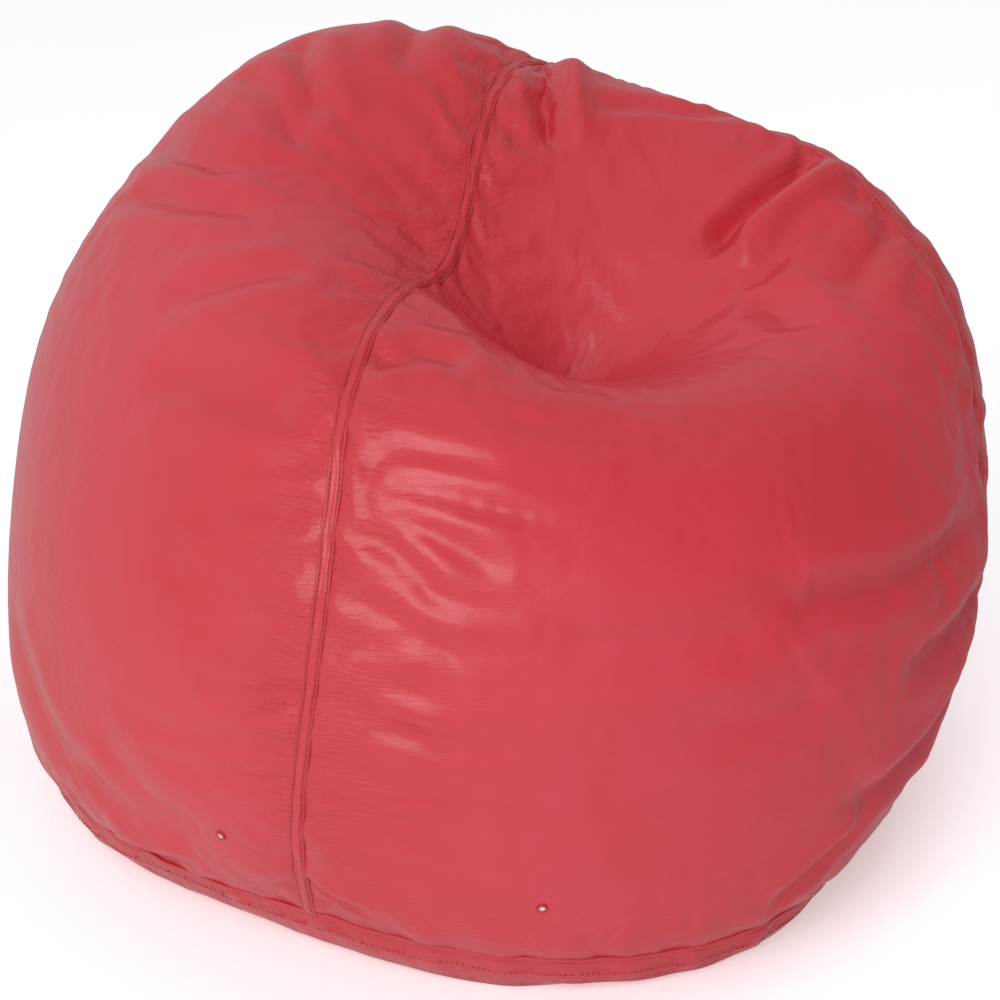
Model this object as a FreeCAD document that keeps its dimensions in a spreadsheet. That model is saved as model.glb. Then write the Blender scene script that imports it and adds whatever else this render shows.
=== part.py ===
import FreeCAD, Part
import math
import os

# A child's bean bag chair. Four tall vinyl gores and a two-part base panel make the cover, an inner
# liner bag holds the beads, and cover and liner each close with a zip across the underside.
# Millimetres, +Z up. The front faces -Y and the origin is the middle of the floor contact.

os.makedirs("parts", exist_ok=True)
doc = FreeCAD.newDocument("BeanBagChair")

# ---------------------------------------------------------------- driving dimensions
sheet = doc.addObject("Spreadsheet::Sheet", "Sizes")
SIZES = {
    # the body of the bag: an ellipsoid about a core point, before the swells below
    "core_x": 3.9, "core_y": -0.3, "core_height": 190, "half_width": 385,
    "half_depth": 372, "reach_up": 350, "reach_down": 330,
    # the gores lean back as they rise, so that they meet behind the back ridge
    "lean_heading": 80, "lean_angle": 54, "lean_start": -40, "belly_twist": 8, "crown_pitch": 84,
    # seams, as headings round the bag, and the height of the base seam above the floor
    "front_seam": -119, "right_seam": -18, "back_seam": 62, "left_seam": 150,
    "base_seam_height": 32, "base_seam_rise": 18, "base_seam_heading": -150,
    # layers, each measured inward from the outside of the cover
    "cover_thickness": 1.0, "liner_depth": 1.6, "liner_thickness": 0.4, "fill_depth": 2.6,
    "panel_gap": 0.4,
    # seam strips, cord and thread
    "strip_width": 10, "strip_thickness": 0.9, "strip_lift": 0.7, "cord_width": 4.0,
    "cord_thickness": 2.2, "thread_width": 0.9, "thread_thickness": 0.4, "thread_gap": 0.2,
    "stitch_spacing": 6.4,
    # breather vents
    "vent_flange_radius": 4.2, "vent_flange_thickness": 0.8, "vent_barrel_radius": 2.9,
    "vent_bore_radius": 2.2, "vent_length": 2.2, "vent_gauze_thickness": 0.4,
    # the two zips, one over the other across the underside
    "zip_y": 20, "zip_length": 440, "slot_width": 12, "slot_extra": 20, "channel": 1.6,
    "tape_width": 15, "tape_thickness": 0.5, "tape_height": 1.3,
    "coil_width": 1.8, "coil_thickness": 1.2, "coil_height": 2.0,
    "slider_length": 13, "slider_width": 8.4, "plate_thickness": 0.7, "plate_height": 0.4,
    "top_plate_height": 3.4, "neck_width": 1.0, "neck_length": 5,
    "stop_length": 2.5, "guard_height": 4.5, "guard_thickness": 0.5, "guard_width": 36,
    "liner_base_height": 5.4, "liner_zip_rise": 4.9, "fill_height": 10.0,
}

# Every swell or hollow of the sagging bag: heading and pitch as seen from the core point, how much
# longer or shorter the reach becomes there, how wide it spreads, and how square its shoulders are.
SWELL_FIELDS = ("heading", "pitch", "share", "spread", "power")
SWELLS = {
    "seat": (40, 76, -0.36, 34, 3),
    "seat_front": (-62, 68, -0.20, 20, 2),
    "seat_right": (-5, 66, -0.16, 18, 2),
    "front_rim": (-100, 46, 0.05, 20, 2),
    "left_peak": (119, 46, 0.27, 20, 2),
    "left_shoulder": (155, 33, 0.13, 25, 2),
    "left_foot": (-168, -26, 0.08, 24, 2),
    "back_ridge": (84, 48, 0.25, 20, 2),
    "right_ridge": (48, 41, 0.21, 20, 2),
    "right_arm": (18, 34, 0.14, 22, 2),
    "right_foot": (-12, -34, -0.06, 22, 2),
    "front_foot": (-62, -34, 0.05, 24, 2),
    "front_left_foot": (-128, -38, -0.05, 20, 2),
}

rows = dict(SIZES)
for swell, values in SWELLS.items():
    for field, value in zip(SWELL_FIELDS, values):
        rows[swell + "_" + field] = value
for row, (alias, value) in enumerate(rows.items(), start=1):
    sheet.set(f"A{row}", alias.replace("_", " "))
    sheet.set(f"B{row}", str(value))
    sheet.setAlias(f"B{row}", alias)
doc.recompute()


def size(alias):
    return float(sheet.get(alias))


def bind(thing, **expressions):
    """Binds an object's sizes and place to the sheet; a double underscore stands for a dot."""
    for path, expression in expressions.items():
        thing.setExpression(path.replace("__", "."), expression)
    return thing


# ---------------------------------------------------------------- the shape of the bag
Vec = FreeCAD.Vector
CORE = Vec(size("core_x"), size("core_y"), size("core_height"))
SWELL_SIZES = [tuple(size(name + "_" + field) for field in SWELL_FIELDS) for name in SWELLS]


def direction(heading, pitch):
    """Unit vector for a heading from +X and a pitch above the horizontal, in degrees."""
    turn, rise = math.radians(heading), math.radians(pitch)
    return Vec(math.cos(rise) * math.cos(turn), math.cos(rise) * math.sin(turn), math.sin(rise))


SWELL_WAYS = [direction(heading, pitch) for heading, pitch, _, _, _ in SWELL_SIZES]


def reach(way):
    """How far the outside of the cover lies from the core point along a unit vector."""
    tall = size("reach_up") if way.z > 0 else size("reach_down")
    flat = (way.x / HALF_WIDTH) ** 2 + (way.y / HALF_DEPTH) ** 2 + (way.z / tall) ** 2
    swell = 1.0
    for aim, (_, _, share, spread, power) in zip(SWELL_WAYS, SWELL_SIZES):
        away = math.degrees(math.acos(max(-1.0, min(1.0, way.dot(aim)))))
        swell += share * math.exp(-((away / spread) ** power))
    return swell / math.sqrt(flat)


HALF_WIDTH, HALF_DEPTH = size("half_width"), size("half_depth")
LEAN_HEADING = math.radians(size("lean_heading"))
LEAN_AXIS = Vec(-math.sin(LEAN_HEADING), math.cos(LEAN_HEADING), 0)


def gore_way(heading, rise):
    """Direction for a place on the gores: a heading round the bag and a rise from -90 at the middle
    of the base to 90 at the crown. The belly is twisted a little, and the top leans back."""
    twist = size("belly_twist") * math.exp(-(((rise - 12) / 34) ** 2))
    climb = max(0.0, min(1.0, (rise - size("lean_start")) / (90 - size("lean_start"))))
    lean = size("lean_angle") * climb * climb * (3 - 2 * climb)
    return FreeCAD.Rotation(LEAN_AXIS, lean).multVec(direction(heading + twist, rise))


def surface(heading, rise, depth=0.0):
    """A point on the bag, depth millimetres inside the cover's outer face, and the normal there."""
    step = 0.4
    here = gore_way(heading, rise)
    point = CORE + here * reach(here)
    side = here.cross(Vec(0, 0, 1) if abs(here.z) < 0.9 else Vec(0, 1, 0)).normalize()
    up = side.cross(here).normalize()
    around = (here + side * math.radians(step)).normalize()
    above = (here + up * math.radians(step)).normalize()
    along_up, along_side = CORE + above * reach(above), CORE + around * reach(around)
    normal = (along_up - point).cross(along_side - point).normalize()
    return point - normal * depth, normal


def rise_at(heading, depth, height):
    """The rise at which a layer passes a height above the floor, found by halving."""
    low, high = -85.0, 0.0
    for _ in range(22):
        middle = (low + high) / 2
        if surface(heading, middle, depth)[0].z < height:
            low = middle
        else:
            high = middle
    return (low + high) / 2


def base_seam_height(heading):
    swing = math.cos(math.radians(heading - size("base_seam_heading")))
    return size("base_seam_height") + size("base_seam_rise") * swing


# ---------------------------------------------------------------- building with smooth sheets
SEAMS = [size("front_seam"), size("right_seam"), size("back_seam"), size("left_seam")]
GORES = [(SEAMS[k], SEAMS[(k + 1) % 4] + (360 if k == 3 else 0)) for k in range(4)]
ACROSS, UP = 13, 26


def spread(first, last, count):
    return [first + (last - first) * k / (count - 1) for k in range(count)]


def smooth_face(grid):
    """A cubic B-spline sheet drawn by a grid of control points, which it meets at its edges."""
    def knots(count, degree):
        inner = count - degree - 1
        return list(range(inner + 2)), [degree + 1] + [1] * inner + [degree + 1]
    degrees = min(3, len(grid) - 1), min(3, len(grid[0]) - 1)
    (first, first_mults), (second, second_mults) = (
        knots(len(grid), degrees[0]), knots(len(grid[0]), degrees[1]))
    sheet_surface = Part.BSplineSurface()
    sheet_surface.buildFromPolesMultsKnots(
        grid, first_mults, second_mults, first, second, False, False, degrees[0], degrees[1])
    return sheet_surface.toShape()


def sides_of(grid):
    """The four edges of a grid's sheet, as point rows in order round it."""
    return [grid[0], [row[-1] for row in grid], grid[-1], [row[0] for row in grid]]


def sewn(faces):
    shell = Part.Shell(faces)
    shell.sewShape()
    solid = Part.Solid(shell)
    if solid.Volume < 0:
        solid.reverse()
    return solid


def slab(outer, inner):
    """A closed slab between two grids of the same size."""
    walls = [smooth_face([a, b]) for a, b in zip(sides_of(outer), sides_of(inner))]
    return sewn([smooth_face(outer), smooth_face(inner)] + walls)


def gore_grid(first, last, low, high, depth, gap=0.0):
    """Control points of one gore at a depth, from the rise low(heading) up to the rise high."""
    grid = []
    for column, heading in enumerate(spread(first, last, ACROSS)):
        line = []
        for rise in spread(low(heading), high, UP):
            turn = 0.0
            if column in (0, ACROSS - 1):
                way = gore_way(heading, rise)
                circle = reach(way) * math.cos(math.radians(rise))
                turn = math.degrees(gap / 2 / circle) * (1 if column == 0 else -1)
            line.append(surface(heading + turn, rise, depth)[0])
        grid.append(line)
    return grid


def crown_grid(pitch, depth):
    """Control points of the round cap over the crown, cornered on the four seams."""
    grid = []
    for across in spread(-1, 1, ACROSS):
        line = []
        for up in spread(-1, 1, ACROSS):
            ring = max(abs(across), abs(up))
            if ring == 0:
                line.append(surface(0, 90, depth)[0])
                continue
            # side of the square, and how far along it, from -1 to 1
            if abs(across) >= abs(up):
                side, along = (0, up / ring) if across > 0 else (2, -up / ring)
            else:
                side, along = (1, -across / ring) if up > 0 else (3, across / ring)
            first, last = GORES[side]
            heading = first + (last - first) * (along + 1) / 2
            line.append(surface(heading, 90 - ring * (90 - pitch), depth)[0])
        grid.append(line)
    return grid


def ribbon(points, width, low, high):
    """A strip along a seam. Each point is a place, the way across and the normal there."""
    outer, inner = [], []
    for place, across, normal in points:
        outer.append([place + across * (width * part) + normal * high for part in (-0.5, 0, 0.5)])
        inner.append([place + across * (width * part) + normal * low for part in (-0.5, 0, 0.5)])
    return slab(outer, inner)


def along(places, shift=0.0, closed=False):
    """Turns places with normals into ribbon points, shifted sideways."""
    last = len(places) - 1
    points = []
    for k, (place, normal) in enumerate(places):
        before = places[k - 1 if k else (last - 1 if closed else 0)][0]
        after = places[k + 1 if k < last else (1 if closed else last)][0]
        across = (after - before).cross(normal).normalize()
        points.append((place + across * shift, across, normal))
    return points


made = []


def keep(label, shape=None, thing=None):
    """Files a piece under its name. A piece drawn by Part functions becomes its own feature."""
    if thing is None:
        thing = doc.addObject("Part::Feature", label)
        thing.Shape = shape
        thing.Placement = FreeCAD.Placement()
    thing.Label = label
    made.append(thing)
    return thing


# ---------------------------------------------------------------- breather vents
# One low in each gore: an eyelet with a round of gauze in its bore.
VENTS = [("front", -89, -17), ("right", 16, -16), ("back", 106, -16), ("left", -129, -14)]


def vent_placement(heading, rise, depth):
    place, normal = surface(heading, rise, depth)
    return FreeCAD.Placement(place, FreeCAD.Rotation(Vec(0, 0, 1), normal))


def vent_cylinder(name, radius, tall, placement, lift):
    cylinder = bind(doc.addObject("Part::Cylinder", name), Radius=radius, Height=tall)
    cylinder.Placement = placement.multiply(FreeCAD.Placement(Vec(0, 0, lift), FreeCAD.Rotation()))
    return cylinder


eyelets, gauzes, vent_holes = [], [], {}
for side, heading, rise in VENTS:
    flush = vent_placement(heading, rise, 0)
    lift = 0.5
    flange = vent_cylinder(side + "_flange", "Sizes.vent_flange_radius",
                           "Sizes.vent_flange_thickness", flush, lift)
    barrel = vent_cylinder(side + "_barrel", "Sizes.vent_barrel_radius", "Sizes.vent_length",
                           flush, lift - size("vent_length") + 0.4)
    bore = vent_cylinder(side + "_bore", "Sizes.vent_bore_radius", "Sizes.vent_length * 3",
                         flush, -size("vent_length") * 1.5)
    body = doc.addObject("Part::Fuse", side + "_eyelet_body")
    body.Base, body.Tool = flange, barrel
    eyelet = doc.addObject("Part::Cut", side + "_eyelet")
    eyelet.Base, eyelet.Tool = body, bore
    eyelets.append(eyelet)
    gauzes.append(vent_cylinder(side + "_gauze", "Sizes.vent_bore_radius - 0.15",
                                "Sizes.vent_gauze_thickness", flush, 0.2))
    hole = Part.makeCylinder(size("vent_barrel_radius") + 0.25, 12)
    hole.Placement = flush.multiply(FreeCAD.Placement(Vec(0, 0, -6), FreeCAD.Rotation()))
    vent_holes[side] = hole

for label, group in (("vent_eyelets", eyelets), ("vent_gauzes", gauzes)):
    compound = doc.addObject("Part::Compound", label)
    compound.Links = group
    keep(label, thing=compound)

# ---------------------------------------------------------------- cover: gores, crown and base
CROWN = size("crown_pitch")
GAP, THICK = size("panel_gap"), size("cover_thickness")
SIDE_NAMES = ("front", "right", "back", "left")


def seam_rise(heading):
    return rise_at(heading, 0, base_seam_height(heading))


gap_rise = math.degrees(GAP / HALF_WIDTH)
for side, (first, last) in zip(SIDE_NAMES, GORES):
    high = CROWN - gap_rise
    outer = gore_grid(first, last, seam_rise, high, 0, GAP)
    inner = gore_grid(first, last, seam_rise, high, THICK, GAP)
    keep(side + "_panel", slab(outer, inner).cut(vent_holes[side]))

keep("crown_patch", slab(crown_grid(CROWN, 0), crown_grid(CROWN, THICK)))


def level_rim(depth, height):
    """Edges of a level outline of a layer, one smooth curve for each gore."""
    edges = []
    for first, last in GORES:
        line = []
        for heading in spread(first, last, ACROSS):
            place = surface(heading, rise_at(heading, depth, height), depth)[0]
            line.append(Vec(place.x, place.y, height))
        degree, count = 3, len(line)
        curve = Part.BSplineCurve()
        curve.buildFromPolesMultsKnots(
            line, [degree + 1] + [1] * (count - degree - 1) + [degree + 1],
            list(range(count - degree + 1)), False, degree)
        edges.append(curve.toShape())
    return edges


def level_face(depth, height):
    return Part.Face(Part.Wire(level_rim(depth, height)))


def side_grid(first, last, depth, low_height, high_rise):
    """A layer between a level outline and a rise given by heading, a few rows tall."""
    grid = []
    for heading in spread(first, last, ACROSS):
        low = rise_at(heading, depth, low_height)
        line = [surface(heading, rise, depth)[0] for rise in spread(low, high_rise(heading), 6)]
        line[0] = Vec(line[0].x, line[0].y, low_height)
        grid.append(line)
    return grid


# The base panel is a shallow dish: flat where it rests, and turned up to the base seam.
def below_seam(heading):
    return seam_rise(heading) - gap_rise


faces = [level_face(0, 0), level_face(THICK, THICK)]
for first, last in GORES:
    outer = side_grid(first, last, 0, 0, below_seam)
    inner = side_grid(first, last, THICK, THICK, below_seam)
    faces += [smooth_face(outer), smooth_face(inner)]
    faces.append(smooth_face([[row[-1] for row in outer], [row[-1] for row in inner]]))
base_dish = sewn(faces)

# The zip's slot parts it into a front and a rear half, which meet again past the slot's ends.
zip_y, slot = size("zip_y"), size("slot_width")
slot_long = size("zip_length") + 2 * size("slot_extra")
far = 2 * HALF_WIDTH


def block(x, y, z, long, wide, tall):
    """A box centred on x and y, standing on z."""
    return Part.makeBox(long, wide, tall, Vec(x - long / 2, y - wide / 2, z))


slot_cut = block(0, zip_y, -5, slot_long, slot, 20).fuse(block(0, zip_y, -5, far, GAP, 120))
for label, sign in (("base_panel_front", 1), ("base_panel_rear", -1)):
    other_side = block(0, zip_y + sign * far / 2, -5, 2 * far, far, 200)
    half = base_dish.cut(slot_cut.fuse(other_side))
    keep(label, half.Solids[0])

# ---------------------------------------------------------------- seam strips, cord and thread
strip_low = size("strip_lift")
strip_high = strip_low + size("strip_thickness")
thread_low = strip_high + size("thread_gap")
thread_high = thread_low + size("thread_thickness")
for side, heading in zip(SIDE_NAMES, SEAMS):
    # the strip starts clear of the seam cord, then takes the same places as the panels' edges
    start = rise_at(heading, 0, base_seam_height(heading) + 5)
    rises = [start] + spread(seam_rise(heading), CROWN - gap_rise, UP)[1:]
    places = [surface(heading, rise) for rise in rises]
    keep(side + "_seam_strip",
         ribbon(along(places), size("strip_width"), strip_low, strip_high))
    rows_of_thread = [
        ribbon(along(places, shift), size("thread_width"), thread_low, thread_high)
        for shift in (-size("stitch_spacing") / 2, size("stitch_spacing") / 2)]
    keep(side + "_seam_thread", Part.makeCompound(rows_of_thread))


def ring_places(rise_of):
    """Places and normals right round the bag, split at the seams into four open runs."""
    return [[surface(heading, rise_of(heading)) for heading in spread(first, last, 15)]
            for first, last in GORES]


def ring_piece(label, rise_of, width, low, high):
    runs = []
    for run in ring_places(rise_of):
        runs.append(ribbon(along(run), width, low, high))
    keep(label, Part.makeCompound(runs))


ring_piece("base_seam_cord", seam_rise, size("cord_width"), 0.4, size("cord_thickness"))
ring_piece("base_seam_thread", lambda heading: rise_at(heading, 0, base_seam_height(heading) - 7),
           size("thread_width"), 0.5, 0.9)
ring_piece("crown_thread", lambda heading: CROWN + 0.8, size("thread_width"), 0.5, 0.9)


# ---------------------------------------------------------------- zips
def box(name, x, y, z, long, wide, tall):
    """A box centred on x and y and standing on z, every size an expression."""
    return bind(
        doc.addObject("Part::Box", name), Length=long, Width=wide, Height=tall,
        Placement__Base__x=f"({x}) - ({long}) / 2", Placement__Base__y=f"({y}) - ({wide}) / 2",
        Placement__Base__z=z)


def fused(label, *parts):
    joined = doc.addObject("Part::MultiFuse", label)
    joined.Shapes = list(parts)
    return keep(label, thing=joined)


def make_zip(name, rise):
    """Two tapes with a coil on each, a slider with no pull that bridges them, and end stops. The
    slider waits at the +X end, where the zip is closed."""
    def up(height):
        return f"Sizes.{height} + {rise}"

    for half, sign in (("front", -1), ("rear", 1)):
        tape_y = f"Sizes.zip_y + {sign} * (Sizes.channel + Sizes.tape_width) / 2"
        coil_y = f"Sizes.zip_y + {sign} * (Sizes.channel + Sizes.coil_width) / 2"
        keep(f"{name}_tape_{half}", thing=box(
            f"{name}_tape_{half}", "0", tape_y, up("tape_height"), "Sizes.zip_length",
            "Sizes.tape_width", "Sizes.tape_thickness"))
        keep(f"{name}_coil_{half}", thing=box(
            f"{name}_coil_{half}", "0", coil_y, up("coil_height"),
            "Sizes.zip_length - 2 * Sizes.stop_length - 2", "Sizes.coil_width",
            "Sizes.coil_thickness"))

    slider_x = "Sizes.zip_length / 2 - Sizes.stop_length - Sizes.slider_length / 2 - 1"
    neck_x = f"{slider_x} + (Sizes.slider_length - Sizes.neck_length) / 2"
    fused(
        f"{name}_slider",
        box(f"{name}_lower_plate", slider_x, "Sizes.zip_y", up("plate_height"),
            "Sizes.slider_length", "Sizes.slider_width", "Sizes.plate_thickness"),
        box(f"{name}_neck", neck_x, "Sizes.zip_y", up("plate_height"), "Sizes.neck_length",
            "Sizes.neck_width",
            "Sizes.top_plate_height - Sizes.plate_height + Sizes.plate_thickness"),
        box(f"{name}_upper_plate", slider_x, "Sizes.zip_y", up("top_plate_height"),
            "Sizes.slider_length", "Sizes.slider_width", "Sizes.plate_thickness"))

    stops = []
    for end, sign in (("closed", 1), ("open", -1)):
        stops.append(box(
            f"{name}_stop_{end}", f"{sign} * (Sizes.zip_length - Sizes.stop_length) / 2",
            "Sizes.zip_y", up("coil_height"), "Sizes.stop_length",
            "Sizes.channel + 2 * Sizes.coil_width", "Sizes.coil_thickness"))
    compound = doc.addObject("Part::Compound", f"{name}_stops")
    compound.Links = stops
    keep(f"{name}_stops", thing=compound)


make_zip("cover_zip", "0")
make_zip("liner_zip", "Sizes.liner_zip_rise")

keep("zip_guard_flap", thing=box(
    "zip_guard_flap", "0", "Sizes.zip_y", "Sizes.guard_height",
    "Sizes.zip_length + 2 * Sizes.slot_extra", "Sizes.guard_width", "Sizes.guard_thickness"))

# ---------------------------------------------------------------- liner and fill
LINER, LINER_THICK = size("liner_depth"), size("liner_thickness")
liner_low = size("liner_base_height")


def full_gores(depth, low):
    grids = [gore_grid(first, last, lambda heading: rise_at(heading, depth, low), CROWN, depth)
             for first, last in GORES]
    for grid in grids:
        for line in grid:
            line[0] = Vec(line[0].x, line[0].y, low)
    return grids


outer = full_gores(LINER, liner_low + 1)
inner = full_gores(LINER + LINER_THICK, liner_low + 1)
faces = [smooth_face(grid) for grid in outer + inner]
faces += [smooth_face([[row[0] for row in a], [row[0] for row in b]]) for a, b in zip(outer, inner)]
faces += [smooth_face(crown_grid(CROWN, LINER)), smooth_face(crown_grid(CROWN, LINER + LINER_THICK))]
keep("liner_body", sewn(faces))

liner_disc = level_face(LINER + 0.3, liner_low).extrude(Vec(0, 0, LINER_THICK))
for label, sign in (("liner_base_front", 1), ("liner_base_rear", -1)):
    other_side = block(0, zip_y + sign * far / 2, -5, 2 * far, far, 200)
    half = liner_disc.cut(slot_cut.fuse(other_side))
    keep(label, half.Solids[0])

fill_low = size("fill_height")
fill_depth = size("fill_depth")
faces = [smooth_face(grid) for grid in full_gores(fill_depth, fill_low)]
faces += [smooth_face(crown_grid(CROWN, fill_depth)), level_face(fill_depth, fill_low)]
keep("bead_fill", sewn(faces))

# ---------------------------------------------------------------- check and write
doc.recompute()
for thing in doc.Objects:
    if any(word in thing.State for word in ("Invalid", "Error")):
        raise RuntimeError(f"{thing.Label} did not build")
for thing in made:
    if thing.Shape.isNull() or not thing.Shape.isValid() or not thing.Shape.Solids:
        raise RuntimeError(f"{thing.Label} has no valid solid")
    thing.Shape.exportStep(f"parts/{thing.Label}.step")
    box_of = thing.Shape.BoundBox
    print(f"{thing.Label:20} {len(thing.Shape.Solids)} solid(s) {thing.Shape.Volume / 1000:10.1f} cm3"
          f"  z {box_of.ZMin:7.2f} to {box_of.ZMax:7.2f}")
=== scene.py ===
# %% [markdown]
# # A child's bean bag chair
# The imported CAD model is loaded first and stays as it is. Every visible piece below is made in its
# frame, in metres, with the floor at z = 0 and the front towards -Y.

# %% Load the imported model
import math
import bmesh
import bpy
import numpy as np
from mathutils import Matrix, Quaternion, Vector
from mathutils.bvhtree import BVHTree


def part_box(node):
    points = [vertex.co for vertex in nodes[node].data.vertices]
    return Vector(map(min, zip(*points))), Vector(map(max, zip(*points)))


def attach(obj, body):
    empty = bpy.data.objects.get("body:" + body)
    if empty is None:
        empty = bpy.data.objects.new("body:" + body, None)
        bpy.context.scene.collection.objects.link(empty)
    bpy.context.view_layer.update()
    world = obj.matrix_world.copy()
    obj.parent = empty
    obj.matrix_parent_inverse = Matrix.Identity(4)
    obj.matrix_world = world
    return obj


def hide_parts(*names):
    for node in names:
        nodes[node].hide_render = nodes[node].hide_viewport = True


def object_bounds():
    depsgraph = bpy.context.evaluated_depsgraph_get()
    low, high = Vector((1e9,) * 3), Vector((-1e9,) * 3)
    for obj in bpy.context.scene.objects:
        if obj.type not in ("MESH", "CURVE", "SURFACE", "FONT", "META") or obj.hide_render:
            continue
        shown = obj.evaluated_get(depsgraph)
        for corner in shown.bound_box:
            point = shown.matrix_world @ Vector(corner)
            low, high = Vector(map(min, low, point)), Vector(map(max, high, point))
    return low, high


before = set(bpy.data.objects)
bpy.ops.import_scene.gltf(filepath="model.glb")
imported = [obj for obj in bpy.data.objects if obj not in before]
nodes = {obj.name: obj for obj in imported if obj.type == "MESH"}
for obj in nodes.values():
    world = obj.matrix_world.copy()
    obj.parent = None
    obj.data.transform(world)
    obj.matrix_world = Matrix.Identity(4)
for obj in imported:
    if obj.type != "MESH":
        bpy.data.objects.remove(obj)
cad_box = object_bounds()
print("CAD box, metres:", [tuple(round(x, 3) for x in corner) for corner in cad_box])

# %% [markdown]
# The chair is seen from the front and a little above. The camera comes first: a long lens from 2.6 m away
# keeps the round bag from bulging.

# %% Camera
def aimed(thing, place, target):
    """Puts a camera or light at a place and turns it to face a target."""
    bpy.context.scene.collection.objects.link(thing)
    thing.location = place
    thing.rotation_euler = (Vector(target) - Vector(place)).to_track_quat("-Z", "Y").to_euler()
    return thing


TARGET, AWAY, LENS = Vector((0.002, 0.0, 0.244)), 2.6, 117.6
TILT = math.radians(29)
camera = aimed(bpy.data.objects.new("camera", bpy.data.cameras.new("camera")),
               TARGET + AWAY * Vector((0, -math.cos(TILT), math.sin(TILT))), TARGET)
camera.data.lens = LENS
bpy.context.scene.camera = camera
print("camera", AWAY, "m from the bag, tilted", round(math.degrees(TILT)), "degrees down")

# %% [markdown]
# A place on the bag is a heading round it and a rise up a gore, from -90 under the base to 90 at
# the crown. The gores of this bag twist a little at the belly and lean back as they rise, because
# the sitter has pushed the crown behind the back ridge. These are the same gores as in the CAD.

# %% Places on the bag
CORE = Vector((0.0039, -0.0003, 0.190))
SEAMS = {"front": -119, "right": -18, "back": 62, "left": 150}
CROWN_RISE = 84


def direction(heading, pitch):
    """Unit vector for a heading from +X and a pitch above level, in degrees."""
    turn, rise = math.radians(heading), math.radians(pitch)
    return Vector((math.cos(rise) * math.cos(turn), math.cos(rise) * math.sin(turn), math.sin(rise)))


def gore_way(heading, rise):
    """Direction from the core to a place on the gores."""
    twist = 8 * math.exp(-((rise - 12) / 34) ** 2)
    climb = min(1.0, max(0.0, (rise + 40) / 130))
    lean = math.radians(54) * climb * climb * (3 - 2 * climb)
    return Quaternion(direction(170, 0), lean) @ direction(heading + twist, rise)


def tree_of(*names):
    """A search tree over CAD nodes, to ask where a ray meets them."""
    bm = bmesh.new()
    for name in names:
        bm.from_mesh(nodes[name].data)
    tree = BVHTree.FromBMesh(bm)
    bm.free()
    return tree


COVER = [side + "_panel" for side in SEAMS] + ["crown_patch", "base_panel_front", "base_panel_rear"]
cad_cover = tree_of(*COVER, "bead_fill")


def cover_point(way):
    """Where the outside of the CAD cover lies along a direction from the core. Rays on either side
    are tried as well, so that none is lost in the narrow gap between two panels."""
    side = way.orthogonal().normalized()
    up = way.cross(side)
    reach = 0.0
    for shift in (Vector(), side, -side, up, -up):
        aim = (way + shift * 0.0025).normalized()
        hit = cad_cover.ray_cast(CORE + aim * 2, -aim)[0]
        if hit:
            reach = max(reach, (hit - CORE).dot(way))
    return CORE + way * reach


print("the front of the belly reaches y =", round(cover_point(direction(-90, 0)).y, 3))

# %% [markdown]
# A vinyl skin that wrinkles needs an even mesh whose lines already run along the seams, so that it
# can be cut there later. A UV sphere has such lines. Its columns are shared out between the four
# gores, with more on the front, and one of its rows is laid on the base seam and one round the
# crown. A voxel remesh would give an even mesh too, but with nowhere to cut.

# %% Skin grid
COLUMNS = {"front": 104, "right": 64, "back": 68, "left": 84}
BASE_ROWS, GORE_ROWS, CROWN_ROWS = 22, 128, 6
ROWS = BASE_ROWS + GORE_ROWS + CROWN_ROWS
SIDES = list(SEAMS)

headings, seam_columns = [], {}
for side, after in zip(SIDES, SIDES[1:] + SIDES[:1]):
    span = (SEAMS[after] - SEAMS[side]) % 360
    seam_columns[side] = len(headings)
    headings += [SEAMS[side] + span * k / COLUMNS[side] for k in range(COLUMNS[side])]
headings = np.array(headings)
print(len(headings), "columns, seams at", seam_columns)


def base_seam_rise(heading):
    """The rise of the base seam, which stands higher at the left and front than at the right."""
    height = 0.032 + 0.018 * math.cos(math.radians(heading + 150))
    low, high = -85.0, 0.0
    for _ in range(12):
        middle = (low + high) / 2
        low, high = (middle, high) if cover_point(gore_way(heading, middle)).z < height else (low, middle)
    return (low + high) / 2


seam_rises = np.array([base_seam_rise(heading) for heading in headings])
print("base seam rises from", round(seam_rises.min(), 1), "to", round(seam_rises.max(), 1))


def rise_of(row, column):
    """Rows crowd towards the rim of the base, then climb the gores evenly to the crown."""
    seam = seam_rises[column]
    if row <= BASE_ROWS:
        return -90 + (seam + 90) * (1 - (1 - row / BASE_ROWS) ** 1.35)
    if row <= BASE_ROWS + GORE_ROWS:
        return seam + (CROWN_RISE - seam) * (row - BASE_ROWS) / GORE_ROWS
    return CROWN_RISE + (90 - CROWN_RISE) * (row - BASE_ROWS - GORE_ROWS) / CROWN_ROWS


skin = bmesh.new()
bmesh.ops.create_uvsphere(skin, u_segments=len(headings), v_segments=ROWS, radius=1)
ball = np.array([v.co for v in skin.verts])
columns = np.round(np.degrees(np.arctan2(ball[:, 1], ball[:, 0])) / 360 * len(headings)).astype(int)
columns %= len(headings)
rows = np.round((np.degrees(np.arcsin(np.clip(ball[:, 2], -1, 1))) + 90) / 180 * ROWS).astype(int)
places = np.array([cover_point(gore_way(headings[c], rise_of(r, c))) for r, c in zip(rows, columns)])
in_slot = (places[:, 2] < 0.012) & (np.abs(places[:, 1] - 0.02) < 0.009) & (np.abs(places[:, 0]) < 0.25)
places[in_slot, 2] = 0
places[:, 2] = np.maximum(places[:, 2], 0)
number = np.full((ROWS + 1, len(headings)), -1)
number[rows, columns] = np.arange(len(rows))
number[0], number[ROWS] = number[0].max(), number[ROWS].max()
print(len(places), "points on the skin, highest", round(places[:, 2].max(), 3), "m")

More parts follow.
